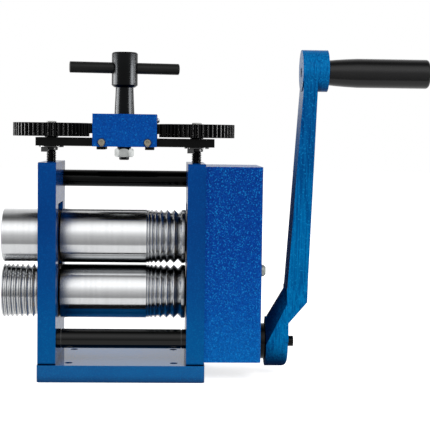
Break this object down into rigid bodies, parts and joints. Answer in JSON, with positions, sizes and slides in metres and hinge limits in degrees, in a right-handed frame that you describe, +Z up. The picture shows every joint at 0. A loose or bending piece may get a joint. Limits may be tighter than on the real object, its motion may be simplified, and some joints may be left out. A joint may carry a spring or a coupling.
{
  "type": "rolling mill",
  "caption": "Hand cranked bench rolling mill for sheet and wire, with overhung extension rolls, a side gear cover and a T handle that lifts the upper roll.",
  "frame": {"origin": "centre of the base plate's underside, which is also the centre of its bench bolt pattern", "axes": "+X along the rolls towards the crank, +Y the feed direction away from the picture's camera, +Z up"},
  "size_m": [0.2556, 0.063, 0.1968],
  "materials": {
    "plate_paint": "satin",
    "hammer_paint": "gloss",
    "roll_steel": "gloss",
    "black_steel": "satin",
    "gear_steel": "satin",
    "gun_metal": "satin",
    "spring_steel": "satin",
    "bronze": "satin",
    "zinc_steel": "gloss",
    "grip_plastic": "gloss"
  },
  "bodies": {
    "frame": {"base_plate": "plate_paint", "left_side_plate": "plate_paint", "right_side_plate": "plate_paint", "upper_tie_rod": "black_steel", "lower_tie_rod": "black_steel", "tie_rod_screws": "black_steel", "base_screws": "zinc_steel", "left_lower_block": "bronze", "right_lower_block": "bronze", "return_springs": "spring_steel", "shaft_bush": "bronze", "gear_cover": "hammer_paint", "cover_flange_bush": "black_steel", "cover_standoffs": "zinc_steel", "cover_screws": "zinc_steel"},
    "upper_carriage": {"left_upper_block": "bronze", "right_upper_block": "bronze", "bridge_plate": "black_steel", "adjuster_housing": "hammer_paint", "housing_screws": "zinc_steel", "thrust_block": "gear_steel", "thrust_block_screws": "black_steel", "spindle_bearing": "bronze", "spindle_bearing_screws": "zinc_steel", "spindle_bush": "black_steel"},
    "upper_roll_group": {"upper_roll": "roll_steel", "upper_extension_roll": "roll_steel", "upper_extension_screw": "black_steel", "upper_roll_gear": "gear_steel", "upper_gear_clip": "black_steel"},
    "lower_roll_group": {"lower_roll": "roll_steel", "lower_extension_roll": "roll_steel", "lower_extension_screw": "black_steel", "lower_roll_gear": "gear_steel", "drive_gear": "gear_steel", "lower_gear_clip": "black_steel"},
    "crank": {"crank_shaft": "gun_metal", "drive_pinion": "gear_steel", "crank_arm": "hammer_paint", "crank_screw": "black_steel", "grip_spindle": "gun_metal"},
    "grip_sleeve": {"grip": "grip_plastic"},
    "t_handle": {"t_handle_spindle": "gun_metal", "t_bar": "black_steel", "central_gear": "black_steel", "spindle_nut": "zinc_steel"},
    "left_screw": {"left_adjusting_screw": "black_steel", "left_screw_gear": "black_steel", "left_tab_washer": "black_steel"},
    "right_screw": {"right_adjusting_screw": "black_steel", "right_screw_gear": "black_steel", "right_tab_washer": "black_steel"}
  },
  "joints": [
    {"name": "crank_turn", "type": "hinge", "parent": "frame", "child": "crank", "pos_m": [0, 0, 0.0199], "axis": [1, 0, 0], "continuous": true},
    {"name": "grip_turn", "type": "hinge", "parent": "crank", "child": "grip_sleeve", "pos_m": [0.15, 0, 0.1833], "axis": [1, 0, 0], "continuous": true},
    {"name": "lower_roll_turn", "type": "hinge", "parent": "frame", "child": "lower_roll_group", "pos_m": [0, 0, 0.0499], "axis": [1, 0, 0], "continuous": true},
    {"name": "upper_roll_lift", "type": "slide", "parent": "frame", "child": "upper_carriage", "axis": [0, 0, 1], "range_m": [-0.00099, 0.004], "deforming": ["return_springs"]},
    {"name": "upper_roll_turn", "type": "hinge", "parent": "upper_carriage", "child": "upper_roll_group", "pos_m": [0, 0, 0.0835], "axis": [1, 0, 0], "continuous": true},
    {"name": "t_handle_turn", "type": "hinge", "parent": "upper_carriage", "child": "t_handle", "pos_m": [0, 0, 0.15], "axis": [0, 0, 1], "range_deg": [-1440.5, 357]},
    {"name": "left_screw_turn", "type": "hinge", "parent": "upper_carriage", "child": "left_screw", "pos_m": [-0.04365, 0, 0.15], "axis": [0, 0, 1], "range_deg": [-357, 1440.5]},
    {"name": "right_screw_turn", "type": "hinge", "parent": "upper_carriage", "child": "right_screw", "pos_m": [0.04365, 0, 0.15], "axis": [0, 0, 1], "range_deg": [-357, 1440.5]}
  ],
  "couplings": [
    {"joint": "lower_roll_turn", "follows": "crank_turn", "ratio": -0.41176},
    {"joint": "upper_roll_turn", "follows": "crank_turn", "ratio": 0.41176},
    {"joint": "t_handle_turn", "follows": "upper_roll_lift", "rad_per_m": -6283.2},
    {"joint": "left_screw_turn", "follows": "upper_roll_lift", "rad_per_m": 6283.2},
    {"joint": "right_screw_turn", "follows": "upper_roll_lift", "rad_per_m": 6283.2}
  ]
}
